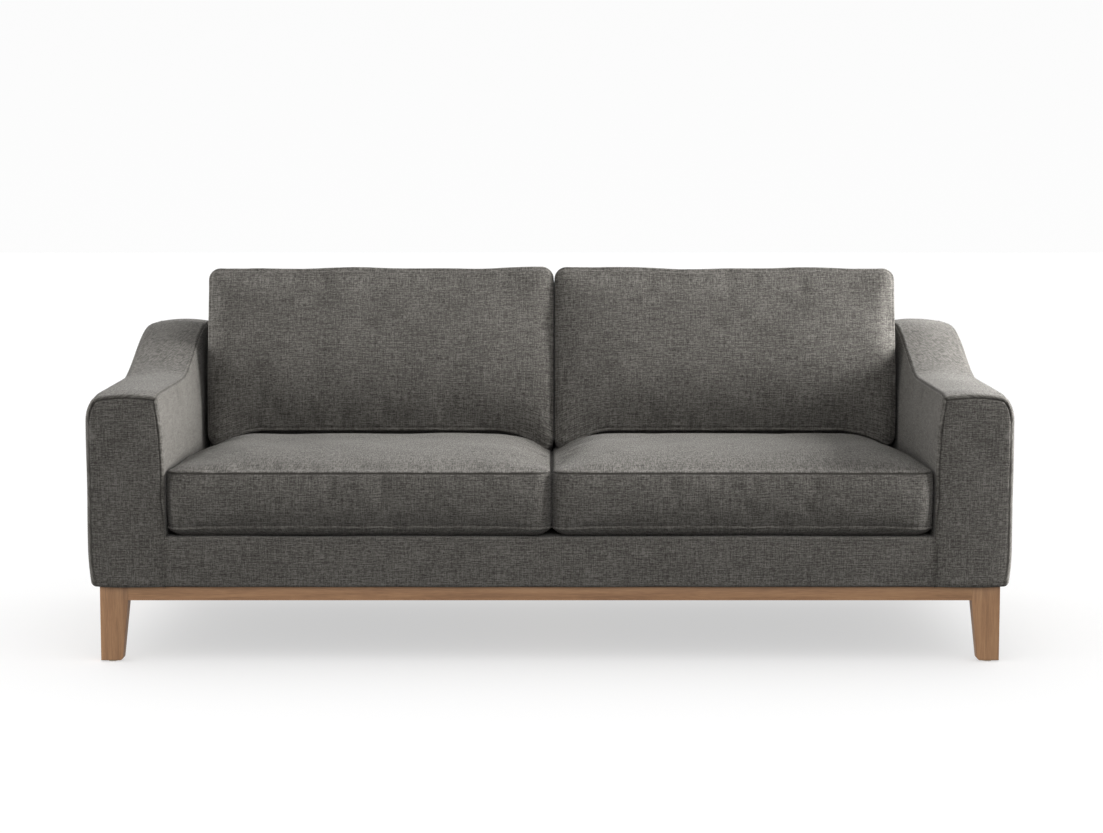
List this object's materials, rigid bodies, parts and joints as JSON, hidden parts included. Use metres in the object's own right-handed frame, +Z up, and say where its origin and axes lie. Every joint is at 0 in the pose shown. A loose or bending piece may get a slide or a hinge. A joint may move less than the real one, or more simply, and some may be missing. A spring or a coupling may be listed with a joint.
{
  "type": "two-seat sofa",
  "caption": "Upholstered sofa with loose crowned seat and back cushions, arms that slope up to the back, and a tapered-leg oak plinth.",
  "frame": {"origin": "on the floor, below the centre of the sofa's outline", "axes": "+X from the left arm to the right arm as a viewer in front sees them, +Y from the front to the back, +Z up"},
  "size_m": [2.1, 0.92, 0.88],
  "materials": {
    "upholstery": "dark warm grey melange weave with slubs",
    "oak": "light oak, satin lacquer",
    "frame_timber": "planed softwood, unfinished",
    "plywood": "unfinished ply",
    "hardboard": "thin fibreboard",
    "beech": "turned dowel",
    "foam": "open-cell foam",
    "webbing": "elastic woven strap",
    "deck_fabric": "plain black lining",
    "dust_cloth": "black non-woven",
    "steel": "zinc plated",
    "brass": "plain",
    "felt": "matt pad",
    "zip_tape": "woven tape with coil teeth",
    "zip_metal": "dull grey"
  },
  "bodies": {
    "root": {"leg_front_left": "oak", "leg_front_right": "oak", "leg_rear_left": "oak", "leg_rear_right": "oak", "plinth_front_rail": "oak", "plinth_rear_rail": "oak", "plinth_side_rail_left": "oak", "plinth_side_rail_right": "oak", "plinth_cross_rail": "frame_timber", "plinth_corner_blocks": "frame_timber", "seat_front_rail": "frame_timber", "seat_rear_rail": "frame_timber", "seat_side_rails": "frame_timber", "seat_centre_rail": "frame_timber", "arm_posts_left": "frame_timber", "arm_posts_right": "frame_timber", "arm_bottom_rail_left": "frame_timber", "arm_bottom_rail_right": "frame_timber", "back_uprights": "frame_timber", "back_rails": "frame_timber", "arm_panels_left": "plywood", "arm_panels_right": "plywood", "arm_top_board_left": "plywood", "arm_top_board_right": "plywood", "back_outer_panel": "hardboard", "plinth_dowels": "beech", "plinth_bolts": "steel", "corner_screws": "steel", "plinth_inserts": "brass", "leg_glides": "felt", "seat_webbing_long": "webbing", "seat_webbing_cross": "webbing", "back_webbing": "webbing", "deck_cloth": "deck_fabric", "dust_cover": "dust_cloth", "seat_deck_pad": "foam", "arm_padding_left": "foam", "arm_padding_right": "foam", "back_padding": "foam", "front_border_padding": "foam", "arm_cover_left": "upholstery", "arm_cover_right": "upholstery", "back_cover": "upholstery", "front_border_cover": "upholstery"},
    "seat_cushion_left": {"seat_cover_left": "upholstery", "seat_core_left": "foam", "seat_zip_left": "zip_tape"},
    "back_cushion_left": {"back_cushion_cover_left": "upholstery", "back_cushion_core_left": "foam", "back_zip_left": "zip_tape"},
    "seat_zip_pull_left": {"seat_zip_slider_left": "zip_metal"},
    "back_zip_pull_left": {"back_zip_slider_left": "zip_metal"},
    "seat_cushion_right": {"seat_cover_right": "upholstery", "seat_core_right": "foam", "seat_zip_right": "zip_tape"},
    "back_cushion_right": {"back_cushion_cover_right": "upholstery", "back_cushion_core_right": "foam", "back_zip_right": "zip_tape"},
    "seat_zip_pull_right": {"seat_zip_slider_right": "zip_metal"},
    "back_zip_pull_right": {"back_zip_slider_right": "zip_metal"}
  },
  "joints": [
    {"name": "seat_cushion_left_out", "type": "slide", "parent": "root", "child": "seat_cushion_left", "axis": [0, -1, 0], "range_m": [0, 0.75]},
    {"name": "back_cushion_left_lift", "type": "slide", "parent": "root", "child": "back_cushion_left", "axis": [0, 0.2079, 0.9781], "range_m": [0, 0.5]},
    {"name": "seat_zip_left_run", "type": "slide", "parent": "seat_cushion_left", "child": "seat_zip_pull_left", "axis": [-1, 0, 0], "range_m": [0, 0.688]},
    {"name": "back_zip_left_run", "type": "slide", "parent": "back_cushion_left", "child": "back_zip_pull_left", "axis": [-1, 0, 0], "range_m": [0, 0.688]},
    {"name": "seat_cushion_right_out", "type": "slide", "parent": "root", "child": "seat_cushion_right", "axis": [0, -1, 0], "range_m": [0, 0.75]},
    {"name": "back_cushion_right_lift", "type": "slide", "parent": "root", "child": "back_cushion_right", "axis": [0, 0.2079, 0.9781], "range_m": [0, 0.5]},
    {"name": "seat_zip_right_run", "type": "slide", "parent": "seat_cushion_right", "child": "seat_zip_pull_right", "axis": [1, 0, 0], "range_m": [0, 0.688]},
    {"name": "back_zip_right_run", "type": "slide", "parent": "back_cushion_right", "child": "back_zip_pull_right", "axis": [1, 0, 0], "range_m": [0, 0.688]}
  ]
}
